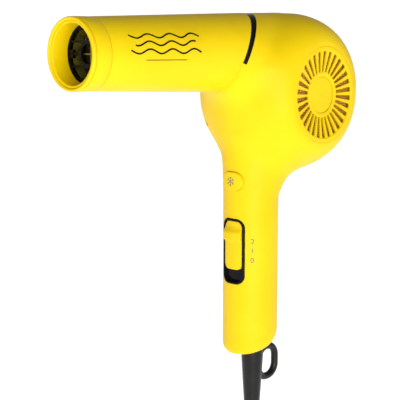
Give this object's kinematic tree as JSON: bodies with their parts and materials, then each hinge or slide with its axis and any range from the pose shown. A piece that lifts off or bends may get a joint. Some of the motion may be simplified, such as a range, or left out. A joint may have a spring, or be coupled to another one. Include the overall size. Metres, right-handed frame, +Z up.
{
  "type": "hair dryer",
  "caption": "Hand-held hair dryer with a long round barrel, a drum blower housing with a grille on each side, a round handle and a hanging loop.",
  "frame": {"origin": "middle of the grip, on the handle's axis", "axes": "+Z up along the handle, -X out of the barrel, -Y to the left side"},
  "size_m": [0.2507, 0.0866, 0.5015],
  "materials": {
    "yellow_shell": "gloss",
    "black_gloss": "gloss",
    "black_matte": "satin",
    "grey_plastic": "matte",
    "black_rubber": "satin",
    "mica": "satin",
    "heater_wire": "satin",
    "steel": "satin",
    "brass": "satin",
    "brass_plated": "gloss",
    "copper": "satin",
    "bronze_mesh": "satin",
    "ferrite": "matte",
    "board": "satin",
    "capacitor_yellow": "satin",
    "wire_insulation": "satin"
  },
  "bodies": {
    "casing": {"body_shell_left": "yellow_shell", "body_shell_right": "yellow_shell", "accent_band": "black_gloss", "barrel_tube": "yellow_shell", "front_collar": "yellow_shell", "outlet_rim": "yellow_shell", "outlet_grille": "black_matte", "mica_sleeve": "mica", "mica_boards": "mica", "heater_coils": "heater_wire", "heater_terminals": "brass", "thermal_cutout": "brass", "thermal_fuse": "steel", "intake_grille_left": "yellow_shell", "intake_grille_right": "yellow_shell", "grille_cap_left": "yellow_shell", "grille_cap_right": "yellow_shell", "dust_screen_left": "bronze_mesh", "dust_screen_right": "bronze_mesh", "scroll_housing": "grey_plastic", "motor_case": "steel", "motor_magnets": "ferrite", "motor_end_cap": "black_matte", "front_bearing": "brass", "rear_bearing": "brass", "carbon_brushes": "ferrite", "motor_bracket": "steel", "bracket_bushes": "black_rubber", "bracket_screws": "steel", "casing_screws": "steel", "cool_button_spring": "steel", "cool_switch": "black_matte", "switch_bezel": "black_gloss", "slide_switch": "black_matte", "switch_terminals": "brass", "suppression_capacitor": "capacitor_yellow", "rectifier_board": "board", "rectifier_diodes": "black_matte", "supply_wires": "wire_insulation", "heater_wires": "wire_insulation", "motor_wires": "wire_insulation", "cord_jacket": "black_rubber", "cord_clamp": "grey_plastic", "clamp_screws": "steel", "strain_relief": "black_rubber", "cord_tube": "black_rubber", "cord_coil": "black_rubber", "coil_tie": "black_matte", "plug_body": "black_rubber", "plug_pins": "brass_plated"},
    "rotor": {"impeller": "grey_plastic", "motor_shaft": "steel", "armature": "copper", "commutator": "copper"},
    "cool_shot_button": {"cool_button": "yellow_shell"},
    "speed_switch": {"speed_slider": "yellow_shell", "switch_carriage": "board"}
  },
  "joints": [
    {"name": "fan_spin", "type": "hinge", "parent": "casing", "child": "rotor", "pos_m": [0.0293, 0, 0.1107], "axis": [0, -1, 0], "continuous": true},
    {"name": "cool_press", "type": "slide", "parent": "casing", "child": "cool_shot_button", "axis": [1, 0, 0], "range_m": [0, 0.002], "stiffness_N_per_m": 400, "springref_m": -0.002, "deforming": ["cool_button_spring"]},
    {"name": "speed_slide", "type": "slide", "parent": "casing", "child": "speed_switch", "axis": [0, 0, 1], "range_m": [-0.008, 0]}
  ]
}
